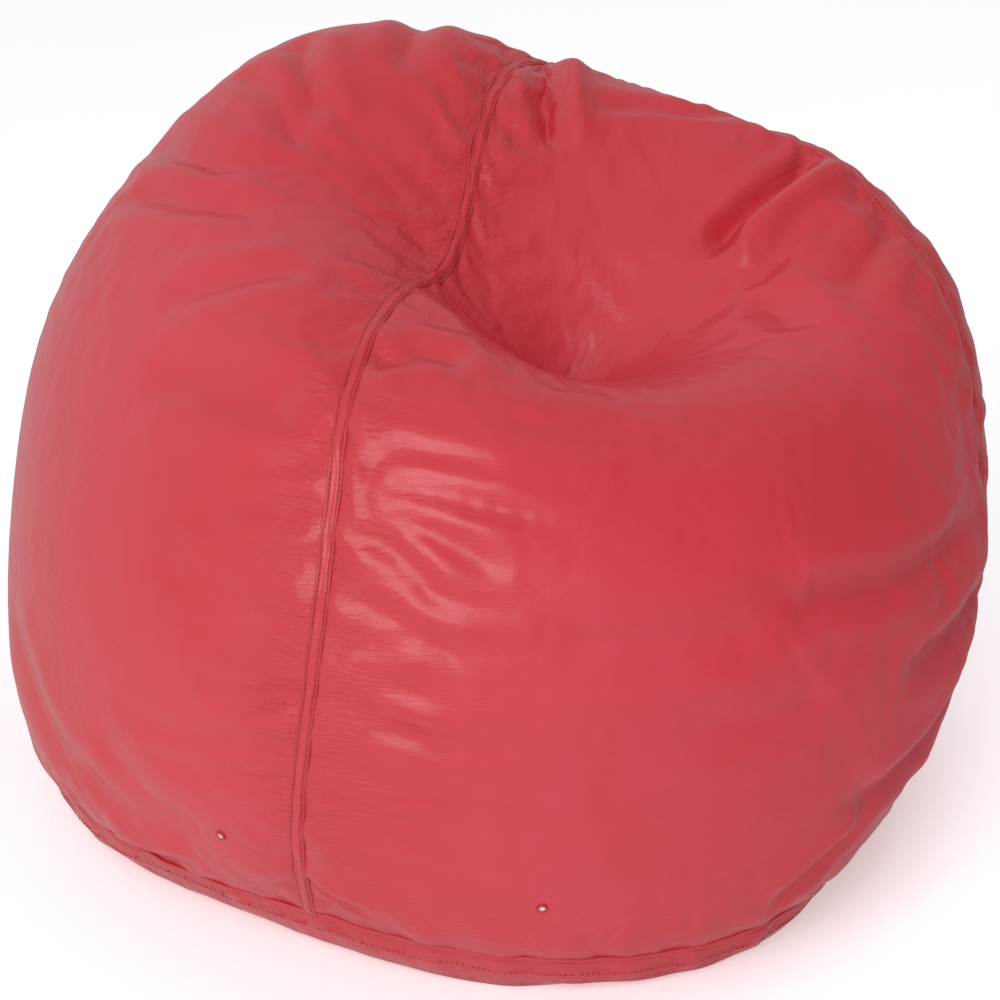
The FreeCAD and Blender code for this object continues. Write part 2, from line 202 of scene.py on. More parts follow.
# %% [markdown]
# Distances along the skin from each seam say where the sewing pulls: the gores pucker beside a
# seam, the skin sits slack over the seat and the right arm, and it is stretched over the belly.

# %% Where the skin puckers
def bump(distance, wide):
    """1 on a line and 0 away from it."""
    return np.exp(-(distance / wide) ** 2)


def near_column(column, points):
    return np.linalg.norm(points - points[number[rows, column]], axis=1)


def near_row(row, points):
    return np.linalg.norm(points - points[number[row, columns]], axis=1)


BASE_ROW, CROWN_ROW = BASE_ROWS, BASE_ROWS + GORE_ROWS
to_gore_seam = np.min([near_column(c, places) for c in seam_columns.values()], axis=0)
to_gore_seam[rows < BASE_ROW - 1] = 1
to_base_seam = near_row(BASE_ROW, places)
to_crown = near_row(CROWN_ROW, places)
on_floor = (places[:, 2] < 0.0025) & (rows < BASE_ROW)
pucker = np.clip(bump(to_gore_seam, 0.055) + 0.7 * bump(to_base_seam, 0.04) + bump(to_crown, 0.04), 0, 1)
print("puckered share of the skin:", round(float((pucker > 0.4).mean()), 2))


# %% [markdown]
# The large folds are laid one by one, each along a path of headings and pitches seen from the core.
# A fold in vinyl is a narrow valley with a soft shoulder on each side. Where one part of the bag
# hangs over another, such as the right arm over the back of the seat, one shoulder is higher.

# %% Large folds
def path_on_bag(path, steps=14):
    """Points on the cover along a path of headings and pitches, close together."""
    ways = [direction(*place) for place in path]
    points = []
    for first, last in zip(ways, ways[1:]):
        points += [cover_point(first.slerp(last, k / steps)) for k in range(steps)]
    return np.array(points + [cover_point(ways[-1])])


def skin_normals(points):
    """Outward normals of the skin's grid, from its neighbours up and round."""
    above, below = number[np.minimum(rows + 1, ROWS), columns], number[np.maximum(rows - 1, 0), columns]
    up = points[above] - points[below]
    ahead, behind = (columns + 1) % len(headings), (columns - 1) % len(headings)
    inner = np.clip(rows, 1, ROWS - 1)
    across = points[number[inner, ahead]] - points[number[inner, behind]]
    normal = np.cross(across, up)
    normal /= np.maximum(np.linalg.norm(normal, axis=1), 1e-9)[:, None]
    normal[rows == 0], normal[rows == ROWS] = (0, 0, -1), skin_top
    return normal


skin_top = np.array(gore_way(0, 90))


def fold(points, path, wide, deep, overlap=0.0, shoulder=0.4, blunt=0.25):
    """Presses one fold into the skin. overlap raises the side to the left of the path."""
    line = path_on_bag(path)
    steps = np.linalg.norm(np.diff(line, axis=0), axis=1)
    along = np.concatenate([[0], np.cumsum(steps)]) / steps.sum()
    away = np.linalg.norm(points[:, None, :] - line[None], axis=2)
    nearest = away.argmin(axis=1)
    distance = away[np.arange(len(points)), nearest]
    taper = np.clip(np.minimum(along, 1 - along) / blunt, 0, 1)
    taper = (taper * taper * (3 - 2 * taper))[nearest]
    heading = np.gradient(line, axis=0)[nearest]
    normal = skin_normals(points)
    side = np.sign((np.cross(normal, heading) * (points - line[nearest])).sum(1))
    x = distance / wide
    shape = -np.exp(-np.abs(x) ** 1.4) + shoulder * np.exp(-((np.abs(x) - 2.0) / 1.0) ** 2)
    shape = shape + overlap * side * np.tanh(x * 1.5) * np.exp(-(x / 3.2) ** 2)
    return points + normal * (deep * taper * shape)[:, None]


FOLDS = [
    # path, width, depth, overlap: the back ridge and the crown side
    ([(83, 44), (81, 50), (79, 55), (73, 61)], 0.010, 0.014, 0.5),
    ([(72, 54), (62, 49), (50, 44)], 0.010, 0.004, 0.0),
    ([(100, 43), (104, 50), (112, 58)], 0.012, 0.007, 0.0),
    # the left peak and shoulder, gathered towards the seat
    ([(121, 47), (128, 53), (140, 60)], 0.013, 0.009, 0.0),
    ([(133, 47), (138, 54), (150, 61)], 0.012, 0.008, 0.0),
    ([(144, 38), (154, 47), (166, 57)], 0.015, 0.009, 0.2),
    ([(160, 40), (170, 50), (-178, 60)], 0.014, 0.007, 0.0),
    ([(-166, 44), (-158, 53), (-150, 62)], 0.014, 0.006, 0.0),
    # the right arm, which hangs over the back of the seat
    ([(37, 39), (33, 43), (30, 47), (27, 51), (20, 54)], 0.011, 0.017, 0.9),
    ([(20, 45), (14, 48), (6, 51)], 0.009, 0.003, 0.0),
    ([(14, 46), (8, 51), (-2, 56)], 0.010, 0.003, 0.0),
    ([(-14, 45), (-4, 47), (6, 50)], 0.016, 0.008, 0.0),
    ([(20, 36), (10, 40), (-2, 42)], 0.014, 0.005, 0.0),
    # the right side, folded where the arm bears on the belly
    ([(-60, 23), (-52, 20), (-38, 17), (-26, 15), (-12, 14)], 0.013, 0.009, 0.35),
    ([(-40, 6), (-28, 4), (-16, 4), (-4, 6)], 0.014, 0.010, 0.2),
    ([(-50, -6), (-42, -9), (-30, -8), (-16, -4)], 0.014, 0.010, 0.2),
    ([(-34, -14), (-24, -18), (-12, -17)], 0.012, 0.008, 0.0),
    ([(6, 12), (16, 8), (28, 8)], 0.014, 0.008, 0.0),
    # the lip of the seat
    ([(-156, 38), (-145, 42), (-134, 43), (-120, 44)], 0.018, 0.008, 0.0),
    ([(-118, 52), (-108, 56), (-96, 55)], 0.013, 0.008, 0.0),
    ([(-98, 46), (-84, 46), (-66, 43)], 0.016, 0.002, 0.0),
    # drag lines that fan out from the front seam
    ([(-109, 34), (-100, 33), (-88, 28)], 0.0085, 0.0050, 0.35),
    ([(-108, 37), (-98, 37), (-86, 35)], 0.0070, 0.0030, 0.3),
    ([(-109, 33), (-102, 29), (-95, 24)], 0.0080, 0.0035, 0.3),
    # small folds where the base seam is gathered: at the foot of the front seam, on the left and right
    ([(-115, -13), (-111, -16), (-105, -17)], 0.006, 0.006, 0.3),
    ([(-146, -22), (-139, -20), (-130, -18)], 0.009, 0.006, 0.3),
    ([(-58, -20), (-50, -16), (-40, -11)], 0.010, 0.007, 0.3),
    # the other drag lines of the front seam, right of it and then left of it
    ([(-110, 25), (-102, 23), (-92, 18)], 0.0075, 0.0045, 0.3),
    ([(-111, 15), (-104, 12), (-94, 7)], 0.0075, 0.0045, 0.3),
    ([(-111, 2), (-104, 0), (-95, -1)], 0.0070, 0.0040, 0.3),
    ([(-112, 34), (-122, 32), (-136, 27)], 0.0080, 0.0050, 0.3),
    ([(-113, 14), (-119, 11), (-128, 11)], 0.0075, 0.0045, 0.3),
    ([(-112, 3), (-117, 1), (-125, 1)], 0.0075, 0.0050, 0.3),
    # long soft dents across the belly and the left foot
    ([(-88, 21), (-72, 19), (-55, 17)], 0.020, 0.004, 0.0),
    ([(-72, 10), (-60, 8), (-48, 8)], 0.018, 0.004, 0.0),
    ([(-152, -9), (-140, -12), (-126, -14)], 0.020, 0.006, 0.0),
    ([(-144, -2), (-134, -8), (-124, -11)], 0.018, 0.005, 0.0),
    ([(-168, 2), (-158, -4), (-148, -12)], 0.018, 0.005, 0.0),
]
for k, pitch in enumerate((42, 37, 31, 27, 21, 16, 11, 5, 0, -6)):
    # a fan of shallow drag lines on both sides of the front seam, longer and deeper by turns
    reach_right, reach_left = 19 + 10 * math.sin(k * 2.1), 18 + 10 * math.cos(k * 1.7)
    FOLDS.append(([(-109, pitch), (-104, pitch - 0.3), (-107 + reach_right, pitch - 2.5 - 1.5 * math.sin(k))],
                  0.0065, 0.0028 + 0.0011 * math.sin(k * 1.3), 0.35))
    FOLDS.append(([(-112, pitch + 1), (-117, pitch), (-113 - reach_left, pitch - 1.5 - 1.5 * math.cos(k))],
                  0.0065, 0.0027 + 0.0011 * math.cos(k * 1.9), 0.35))
for path, wide, deep, overlap in FOLDS:
    places = fold(places, path, wide, deep, overlap)
places[:, 2] = np.maximum(places[:, 2], 0)
print(len(FOLDS), "folds laid by hand")

# %% [markdown]
# Cloth simulation turns the smooth skin into sewn vinyl. Every point is held softly to its place,
# as the beads hold it, the seams are drawn up a little by their thread, and the rest of the skin is
# given a little slack, so that it buckles beside the seams and stays full over the belly. Gravity
# and pressure are off: the beads already give the shape. The move of each point is capped.

# %% Sewing and slack by simulation
FRAMES, CAP = 12, 0.014


def weights(thing, name, values):
    """A vertex group with a weight for every vertex, in twenty steps."""
    group = thing.vertex_groups.new(name=name)
    levels = np.round(np.asarray(values) * 20).astype(int)
    for level in range(1, 21):
        found = np.flatnonzero(levels == level)
        if len(found):
            group.add(found.tolist(), level / 20, "REPLACE")
    return name


def drawn_up(points):
    """Runs the skin as cloth and returns where its points end up."""
    mesh = bpy.data.meshes.new("skin_at_rest")
    skin.to_mesh(mesh)
    mesh.vertices.foreach_set("co", points.ravel())
    cloth_skin = bpy.data.objects.new("skin_at_rest", mesh)
    bpy.context.scene.collection.objects.link(cloth_skin)
    cloth = cloth_skin.modifiers.new("sewing", "CLOTH")
    s = cloth.settings
    s.quality, s.mass, s.air_damping = 5, 0.4, 2
    s.tension_stiffness = s.compression_stiffness = 40
    s.shear_stiffness, s.bending_stiffness = 20, 0.4
    s.tension_damping = s.compression_damping = s.shear_damping = 5
    s.bending_damping = 0.5
    s.effector_weights.gravity = 0
    slack = 0.36 * bump(to_gore_seam, 0.06) + 0.35 * bump(to_base_seam, 0.05) + 0.4 * bump(to_crown, 0.05)
    for way, wide, share in (((10, 50), 0.15, 0.30), ((-28, 8), 0.15, 0.35), ((150, 48), 0.16, 0.30),
                             ((70, 50), 0.16, 0.20), ((-100, 60), 0.12, 0.4)):
        slack += share * bump(np.linalg.norm(points - np.array(cover_point(direction(*way))), axis=1), wide)
    slack = np.clip(slack, 0, 0.5)
    hold = 0.30 - 0.36 * slack
    hold[on_floor] = 1
    s.vertex_group_mass, s.pin_stiffness = weights(cloth_skin, "hold", hold), 1
    sewn = np.maximum(bump(to_gore_seam, 0.012), bump(to_base_seam, 0.010))
    shrink = np.clip(0.60 - 0.95 * slack, 0.05, 1) * (1 - sewn) + sewn
    s.vertex_group_shrink = weights(cloth_skin, "seams", np.where(rows < BASE_ROW - 3, 0.64, shrink))
    s.shrink_min, s.shrink_max = -0.035, 0.020
    cloth.collision_settings.use_collision = False
    cloth.point_cache.frame_start, cloth.point_cache.frame_end = 1, FRAMES
    for step in range(1, FRAMES + 1):
        bpy.context.scene.frame_set(step)
    done = cloth_skin.evaluated_get(bpy.context.evaluated_depsgraph_get()).to_mesh()
    moved = np.empty(len(points) * 3)
    done.vertices.foreach_get("co", moved)
    bpy.context.scene.frame_set(1)
    bpy.data.objects.remove(cloth_skin)
    return moved.reshape(-1, 3)


move = drawn_up(places) - places
size = np.linalg.norm(move, axis=1)
cap = CAP * np.where(on_floor, 0.1, 1)
move *= (np.tanh(size / cap) * cap / np.maximum(size, 1e-9))[:, None]
places = places + move
print("the skin moved", round(size.mean() * 1000, 2), "mm on average; checksum",
      round(float(np.abs(places).sum()), 6))
low_corner, high_corner = np.array(cad_box[0]), np.array(cad_box[1])
places = np.clip(places, low_corner - 0.012, high_corner + 0.012)
places[:, 2] = np.maximum(places[:, 2], 0)

# %% [markdown]
# Gathered vinyl has a crumpled look that is finer than the simulation's mesh. Two layers of short waves across
# each seam, fading away from it, give the small gathers that a seam's thread pulls up. They are long away from
# the seam and short beside it.

# %% Fine gathers beside the seams
def waves(distance_along, away, length, tall, reach, seed):
    """Small ripples along a seam, strongest at a little distance from it."""
    drift = np.sin(distance_along / (length * 5.3) + seed) * 1.7
    drift = drift + np.sin(distance_along / (length * 2.9) + 2 * seed)
    fade = np.exp(-(away / reach) ** 2) * (1 - np.exp(-(away / 0.004) ** 2) * 0.6)
    return tall * fade * np.sin(2 * math.pi * distance_along / length + drift)


def length_up(points):
    """How far each point lies along its column, from the bottom."""
    grid = points[number]
    steps = np.linalg.norm(np.diff(grid, axis=0), axis=2)
    return np.concatenate([np.zeros((1, len(headings))), np.cumsum(steps, axis=0)])[rows, columns]


def length_round(points):
    """How far each point lies along its row, from the front seam."""
    grid = points[number]
    steps = np.linalg.norm(np.diff(grid, axis=1), axis=2)
    return np.concatenate([np.zeros((ROWS + 1, 1)), np.cumsum(steps, axis=1)], axis=1)[rows, columns]


normal = skin_normals(places)
up_skin, round_skin = length_up(places), length_round(places)
ripple = (waves(up_skin, to_gore_seam, 0.046, 0.0016, 0.05, 0.3)
          + waves(up_skin, to_gore_seam, 0.027, 0.0009, 0.03, 1.7)
          + waves(round_skin, to_base_seam, 0.050, 0.0014, 0.035, 0.9)
          + waves(round_skin, to_base_seam, 0.029, 0.0008, 0.022, 2.1))
ripple[rows < BASE_ROW - 8] = 0
ripple[on_floor] = 0
places = places + normal * ripple[:, None]
places[:, 2] = np.maximum(places[:, 2], 0)
print("ripples up to", round(float(np.abs(ripple).max()) * 1000, 2), "mm")

# %% [markdown]
# Each breather vent is a moulded ring, stiffer than the vinyl, so it holds a flat round of skin
# about itself. The skin is levelled there before any piece is cut from it.

# %% Flat rounds for the vents
VENTS = [(-89, -17), (16, -16), (106, -16), (-129, -14)]
VENT_NEAR, VENT_FLAT, VENT_EASE = 0.013, 0.017, 0.009
vent_spots = []
for heading, rise in VENTS:
    away = np.linalg.norm(places - np.array(cover_point(gore_way(heading, rise))), axis=1)
    close = away < away.min() + VENT_NEAR
    outward = skin_normals(places)[close].mean(axis=0)
    outward /= np.linalg.norm(outward)
    middle = places[close].mean(axis=0)
    away = np.linalg.norm(places - middle, axis=1)
    share = np.clip((VENT_FLAT - away) / VENT_EASE, 0, 1)
    places = places - outward * (((places - middle) @ outward) * share)[:, None]
    vent_spots.append((Vector(middle), Vector(outward)))
for k, v in enumerate(skin.verts):
    v.co = places[k]
bmesh.ops.recalc_face_normals(skin, faces=skin.faces)
skin.normal_update()
print(len(vent_spots), "flat rounds for vents")

# %% [markdown]
# Shader maths reads better as plain expressions, so a small class wraps a socket: adding or
# multiplying two of them adds the Math node that does it. Finish holds one material while it is
# wired, and its node() method adds any other node.

# %% Helpers for materials
class Wire:
    """A socket of a material that can be used in sums."""

    def __init__(self, finish, socket):
        self.finish, self.socket = finish, socket

    def maths(self, operation, *values):
        return self.finish.node("ShaderNodeMath", {"operation": operation}, dict(enumerate(values)))

    def __add__(self, other):
        return self.maths("ADD", self, other)

    def __sub__(self, other):
        return self.maths("SUBTRACT", self, other)

    def __rsub__(self, other):
        return self.maths("SUBTRACT", other, self)

    def __mul__(self, other):
        return self.maths("MULTIPLY", self, other)

    def __abs__(self):
        return self.maths("ABSOLUTE", self)

    __radd__, __rmul__ = __add__, __mul__

    def between(self, low, high):
        """0 below low, 1 above high, and smooth between."""
        return self.finish.node("ShaderNodeMapRange", {"interpolation_type": "SMOOTHSTEP"},
                                {"Value": self, "From Min": low, "From Max": high})


class Finish:
    """One material while it is being wired."""

    def __init__(self, name, holder=None):
        self.material = holder or bpy.data.materials.new(name)
        self.material.use_nodes = True
        self.tree = self.material.node_tree
        self.tree.nodes.clear()

    def node(self, kind, settings=None, inputs=None, output=0):
        """Adds a node: its settings first, then values or wires for its sockets."""
        made = self.tree.nodes.new(kind)
        for key, value in (settings or {}).items():
            setattr(made, key, value)
        for key, value in (inputs or {}).items():
            socket = made.inputs[key]
            if isinstance(value, Wire):
                self.tree.links.new(value.socket, socket)
            else:
                socket.default_value = value
        if not made.outputs:
            return made
        return Wire(self, made.outputs[output])

    def object_place(self):
        return self.node("ShaderNodeTexCoord", output="Object")

    def noise(self, scale, detail=2, rough=0.5, distort=0.0, place=None):
        return self.node("ShaderNodeTexNoise", None, {
            "Vector": place or self.object_place(), "Scale": scale, "Detail": detail,
            "Roughness": rough, "Distortion": distort})

    def mixed(self, share, first, second):
        return self.node("ShaderNodeMix", {"data_type": "RGBA"},
                         {0: share, 6: first, 7: second}, output=2)

    def bumps(self, height, distance, strength=1.0):
        return self.node("ShaderNodeBump", None,
                         {"Height": height, "Distance": distance, "Strength": strength})

    def shaded(self, **inputs):
        """The Principled shader, with its sockets named with underscores, and the output."""
        made = self.node("ShaderNodeBsdfPrincipled", None,
                         {key.replace("_", " "): value for key, value in inputs.items()})
        self.node("ShaderNodeOutputMaterial", None, {"Surface": made})
        return self.material


def tint(red, green, blue):
    return (red, green, blue, 1)


# %% [markdown]
# The cover is glossy upholstery vinyl: a soft red sheet with a fine pressed grain. Its colour drifts a little
# towards pink in broad random clouds. A deeper red is painted in random blotches beside the seams as shade in
# the gathers, and the stitched grooves of the seam bands are painted dark red as shade.
# Close to the seams it is crazed with fine creases, which break up the highlights.

# %% Vinyl finish
def vinyl(name, groove_shade_colour, deep, mid, pale, crazing=1.0):
    f = Finish(name)
    place = f.object_place()
    pucker_mask = f.node("ShaderNodeAttribute", {"attribute_name": "pucker"}, output="Fac")
    cloud = f.noise(3.2, 3, 0.55, 0.4, place).between(0.3, 0.7)
    blotch = f.noise(21, 3, 0.6, 0.6, place).between(0.25, 0.75)
    colour = f.mixed(cloud * 0.65 + blotch * 0.2, mid, pale)
    # painted shade: a deeper red in random blotches beside the seams, where the gathers are
    colour = f.mixed(pucker_mask * blotch * 0.22, colour, deep)
    # painted shade: the groove mask mixes in a dark red where the stitched grooves of the seam bands lie
    groove_shade_mask = f.node("ShaderNodeAttribute", {"attribute_name": "groove"}, output="Fac")
    colour = f.mixed(groove_shade_mask * 0.80, colour, groove_shade_colour)
    grain = f.node("ShaderNodeTexVoronoi", {"feature": "F1"},
                   {"Vector": place, "Scale": 620.0}, output="Distance")
    pores = f.noise(1300, 2, 0.6, 0.0, place)
    drawn = f.node("ShaderNodeMapping", None, {"Vector": place, "Scale": (0.17, 0.17, 1.0)})
    craze = 1 - abs(f.noise(150, 4, 0.62, 0.3, drawn) - 0.5).between(0.0, 0.12)
    long_craze = 1 - abs(f.noise(84, 3, 0.55, 0.7, drawn) - 0.5).between(0.0, 0.10)
    soft = f.noise(11, 3, 0.5, 0.5, place)
    crumple = (craze * 0.5 + long_craze * 0.5) * (pucker_mask * 0.75 + 0.16) * crazing
    normal = f.node("ShaderNodeBump", None, {"Height": soft, "Distance": 0.004, "Strength": 0.55})
    normal = f.node("ShaderNodeBump", None, {
        "Height": 1 - crumple, "Distance": 0.0012, "Strength": 0.75, "Normal": normal})
    normal = f.node("ShaderNodeBump", None, {
        "Height": grain * 0.7 + pores * 0.3, "Distance": 0.00022, "Strength": 0.55, "Normal": normal})
    rough = blotch * 0.08 + cloud * 0.05 + pores * 0.05 + 0.33
    return f.shaded(Base_Color=colour, Roughness=rough, Normal=normal, Specular_IOR_Level=0.42,
                    Coat_Weight=0.26, Coat_Roughness=0.21)


# the first two colours are painted shade, a dark red for the stitched grooves and a deeper red for the gathers
# beside the seams; the last two are the vinyl's own reds
GROOVE_SHADE, GATHER_SHADE, RED, PINK = (tint(0.24, 0.007, 0.010), tint(0.42, 0.014, 0.020), tint(0.54, 0.027, 0.034),
                         tint(0.58, 0.040, 0.062))
cover_vinyl = vinyl("cover_vinyl", GROOVE_SHADE, GATHER_SHADE, RED, PINK)
strip_vinyl = vinyl("strip_vinyl", GROOVE_SHADE, GATHER_SHADE, RED, PINK, 0.5)
print("made", cover_vinyl.name, "and", strip_vinyl.name)

# %% [markdown]
# Each gore is cut out of the skin along its own columns and rows, so that neighbours share an edge
# exactly. Solidify gives the sheet its millimetre, and one subdivision smooths the highlights.

# %% Cutting pieces out of the skin
VINYL_THICK = 0.0010


def piece(name, bm, material, smooth=True):
    """Files a bmesh as a piece of the bag, at the origin."""
    mesh = bpy.data.meshes.new(name)
    bm.to_mesh(mesh)
    bm.free()
    mesh.polygons.foreach_set("use_smooth", [smooth] * len(mesh.polygons))
    mesh.materials.append(material)
    thing = bpy.data.objects.new(name, mesh)
    bpy.context.scene.collection.objects.link(thing)
    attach(thing, "bag")
    return thing


def thick(thing, depth, rounds=1):
    """One subdivision, then the sheet's thickness, inward from its outside."""
    if rounds:
        smooth = thing.modifiers.new("smooth", "SUBSURF")
        smooth.levels = smooth.render_levels = rounds
    wall = thing.modifiers.new("thickness", "SOLIDIFY")
    wall.thickness, wall.offset = depth, -1
    return thing


def cut_from_skin(low_row, high_row, first=None, last=None, spots=None):
    """The skin between two rows and two columns, or the same part of a layer under it."""
    keep_rows = (rows >= low_row) & (rows <= high_row)
    keep = keep_rows.copy()
    if first is not None:
        keep &= ((columns - first) % len(headings)) <= (last - first) % len(headings)
        keep |= keep_rows & ((rows == 0) | (rows == ROWS))
    bm = skin.copy()
    # the pucker mask drives the crazing bumps and the painted shade in the gathers
    mark = bm.verts.layers.float.new("pucker")
    bm.verts.ensure_lookup_table()
    for k, v in enumerate(bm.verts):
        v[mark] = float(pucker[k])
        if spots is not None:
            v.co = spots[k]
    gone = [v for k, v in enumerate(bm.verts) if not keep[k]]
    bmesh.ops.delete(bm, geom=gone, context="VERTS")
    return bm


gores = {}
for side, after in zip(SIDES, SIDES[1:] + SIDES[:1]):
    bm = cut_from_skin(BASE_ROW, CROWN_ROW, seam_columns[side], seam_columns[after])
    panel = thick(piece(side + "_gore", bm, cover_vinyl), VINYL_THICK)
    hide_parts(side + "_panel")
    gores[side] = panel
    print(panel.name, len(panel.data.polygons), "faces")

crown = piece("crown_cap", cut_from_skin(CROWN_ROW, ROWS), cover_vinyl)
thick(crown, VINYL_THICK, 0)
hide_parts("crown_patch")
print(crown.name, len(crown.data.polygons), "faces")

# %% [markdown]
# The base panel is in two halves that meet at the zip. The skin's base is cut across with a plane, and the
# zip's slot is opened in it with three more cuts.

# %% Base panels
ZIP_Y, SLOT_HALF, SLOT_LONG = 0.020, 0.006, 0.240


def sliced(bm, place, way):
    bmesh.ops.bisect_plane(bm, geom=bm.verts[:] + bm.edges[:] + bm.faces[:], dist=1e-6,
                           plane_co=place, plane_no=way)


def base_half(sign):
    """The front half (sign -1) or rear half (sign 1) of the base, with the slot opened."""
    bm = cut_from_skin(0, BASE_ROW)
    for y in (ZIP_Y, ZIP_Y + sign * SLOT_HALF):
        sliced(bm, (0, y, 0), (0, 1, 0))
    for x in (-SLOT_LONG, SLOT_LONG):
        sliced(bm, (x, 0, 0), (1, 0, 0))
    gone = []
    for face in bm.faces:
        middle = face.calc_center_median()
        beyond = (middle.y - ZIP_Y) * sign
        if beyond < 0 or (beyond < SLOT_HALF and abs(middle.x) < SLOT_LONG and middle.z < 0.03):
            gone.append(face)
    bmesh.ops.delete(bm, geom=gone, context="FACES")
    return bm


bases = []
for name, sign in (("base_panel_front", -1), ("base_panel_rear", 1)):
    half = piece(name.replace("panel", "sheet"), base_half(sign), cover_vinyl)
    thick(half, VINYL_THICK, 0)
    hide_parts(name)
    bases.append(half)
    print(half.name, len(half.data.polygons), "faces")

# %% [markdown]
# A flat-felled seam is a folded band of vinyl sewn down with two rows of stitches. The band is a
# grid laid along the seam, raised in the middle, with a groove under each row of stitches and a
# little dimple at every stitch. The grid is dropped onto the finished skin by rays, so that it
# follows every pucker.

# %% Felled seam bands and their stitches
STITCH, ROW_SHIFT, BAND_HALF, BAND_STEP = 0.0042, 0.0036, 0.0062, 0.0021


def evenly(points, step):
    """The same line with points one step apart, and the length it has."""
    lengths = np.concatenate([[0], np.cumsum(np.linalg.norm(np.diff(points, axis=0), axis=1))])
    count = max(2, int(round(lengths[-1] / step)) + 1)
    at = np.linspace(0, lengths[-1], count)
    return np.stack([np.interp(at, lengths, points[:, k]) for k in range(3)], axis=1), lengths[-1]


def eased(points, closed=False, times=2):
    """Takes the small corners out of a line of points."""
    for _ in range(times):
        if closed:
            points = (np.roll(points, 1, axis=0) + 2 * points + np.roll(points, -1, axis=0)) / 4
        else:
            points[1:-1] = (points[:-2] + 2 * points[1:-1] + points[2:]) / 4
    return points


def finished_tree(*things):
    """A search tree over finished pieces, with their subdivision applied."""
    graph = bpy.context.evaluated_depsgraph_get()
    bm = bmesh.new()
    for thing in things:
        bm.from_mesh(thing.evaluated_get(graph).to_mesh())
    tree = BVHTree.FromBMesh(bm)
    bm.free()
    return tree


plain_tree = BVHTree.FromBMesh(skin)
skin_tree = finished_tree(*gores.values(), crown, *bases)


def on_skin(place, normal):
    """The place on the finished skin under a point, and the normal there."""
    start = Vector(place) + Vector(normal) * 0.02
    hit, face_normal, _, _ = skin_tree.ray_cast(start, -Vector(normal), 0.05)
    if hit is None:
        hit, face_normal, _, _ = skin_tree.find_nearest(Vector(place))
    return hit, face_normal


def frames_along(line, closed=False):
    """For each point of a line on the skin: the point, the way along, across, and outward."""
    found = []
    count = len(line)
    for k in range(count):
        ahead = line[(k + 1) % count] if closed else line[min(k + 1, count - 1)]
        behind = line[k - 1] if closed else line[max(k - 1, 0)]
        along = Vector(ahead - behind).normalized()
        near = plain_tree.find_nearest(Vector(line[k]))
        outward = ((Vector(line[k]) - CORE).normalized() * 0.4 + near[1]).normalized()
        across = along.cross(outward).normalized()
        found.append([Vector(line[k]), along, across, across.cross(along).normalized()])
    normals = np.array([entry[3] for entry in found])
    normals = eased(normals, closed, 14)
    for entry, smooth in zip(found, normals):
        entry[3] = Vector(smooth).normalized()
        entry[2] = entry[1].cross(entry[3]).normalized()
    return found


def laid(frames, shifts):
    """Places on the skin beside every frame, one for each sideways shift, with small jumps eased out."""
    found = np.array([[on_skin(place + across * shift, outward)[0] for shift in shifts]
                      for place, along, across, outward in frames])
    return eased(found, times=10)


def band(frames, half, height_of, shape_steps=20):
    """A ribbon laid on the skin: height_of(across, index) gives its height above the skin."""
    shares = np.linspace(-1, 1, shape_steps + 1)
    lying = laid(frames, shares * half)
    bm = bmesh.new()
    count = len(frames)
    bmesh.ops.create_grid(bm, x_segments=shape_steps, y_segments=count - 1, size=1)
    bm.verts.ensure_lookup_table()
    # the groove mask also tells the vinyl where to paint a dark red as shade in the stitched grooves
    mark, groove = bm.verts.layers.float.new("pucker"), bm.verts.layers.float.new("groove")
    for v in bm.verts:
        share, k = v.co.x, int(round((v.co.y + 1) / 2 * (count - 1)))
        outward = frames[k][3]
        v[mark], v[groove] = 0.5, sewn_in(share * half)
        v.co = Vector(lying[k, abs(shares - share).argmin()]) + outward * height_of(share * half, k)
    bmesh.ops.recalc_face_normals(bm, faces=bm.faces)
    if sum((f.normal.dot(f.calc_center_median() - CORE) for f in bm.faces)) < 0:
        bmesh.ops.reverse_faces(bm, faces=bm.faces)
    return bm


def seam_line(side):
    """The seam's own points, from the base seam up to the crown."""
    return places[number[BASE_ROW:CROWN_ROW + 1, seam_columns[side]]]


def sewn_in(across):
    """How deep in one of the two stitched grooves a place across the band is, from 0 to 1."""
    return math.exp(-((abs(across) - ROW_SHIFT) / 0.00075) ** 2)


def felled(across, k):
    """Height of a felled band above the skin, with two sewn grooves and soft puckers between."""
    edge = abs(across) / BAND_HALF
    body = 0.0018 * (1 - edge ** 8) - 0.0003 * edge ** 8
    beat = 0.5 + 0.5 * math.cos(2 * math.pi * k * BAND_STEP / STITCH)
    swell = 0.0006 * math.sin(k * 0.23) * math.cos(k * 0.061 + 1) * (1 - edge ** 2)
    return body - 0.0010 * sewn_in(across) * (0.6 + 0.4 * beat) + swell


def grains(matrices):
    """A rounded grain for every matrix, made in short runs because a small bmesh works faster."""
    whole = bmesh.new()
    for first in range(0, len(matrices), 20):
        bm = bmesh.new()
        for matrix in matrices[first:first + 20]:
            bmesh.ops.create_uvsphere(bm, u_segments=6, v_segments=4, radius=1, matrix=matrix)
        part = bpy.data.meshes.new("part")
        bm.to_mesh(part)
        bm.free()
        whole.from_mesh(part)
        bpy.data.meshes.remove(part)
    return whole


def stitches(rows_of_places, long=0.0032, thick_half=0.00052):
    """A bmesh of sewn stitches: small rounded grains, each laid along its row."""
    spots = [spot for row in rows_of_places for spot in row]
    grow = Matrix.Diagonal((long / 2, thick_half, thick_half, 1))
    return grains([Matrix.Translation(place) @ Matrix((along, across, outward)).transposed().to_4x4() @ grow
                   for place, along, across, outward in spots])


def sewn_row(frames, shift, lift, step_count):
    """Stitch places along a row, shifted sideways and lifted off the skin."""
    row, lying = [], laid(frames, [shift])
    for k in range(1, len(frames) - 1, step_count):
        place, along, across, outward = frames[k]
        row.append((Vector(lying[k, 0]) + outward * lift, along, across, outward))
    return row


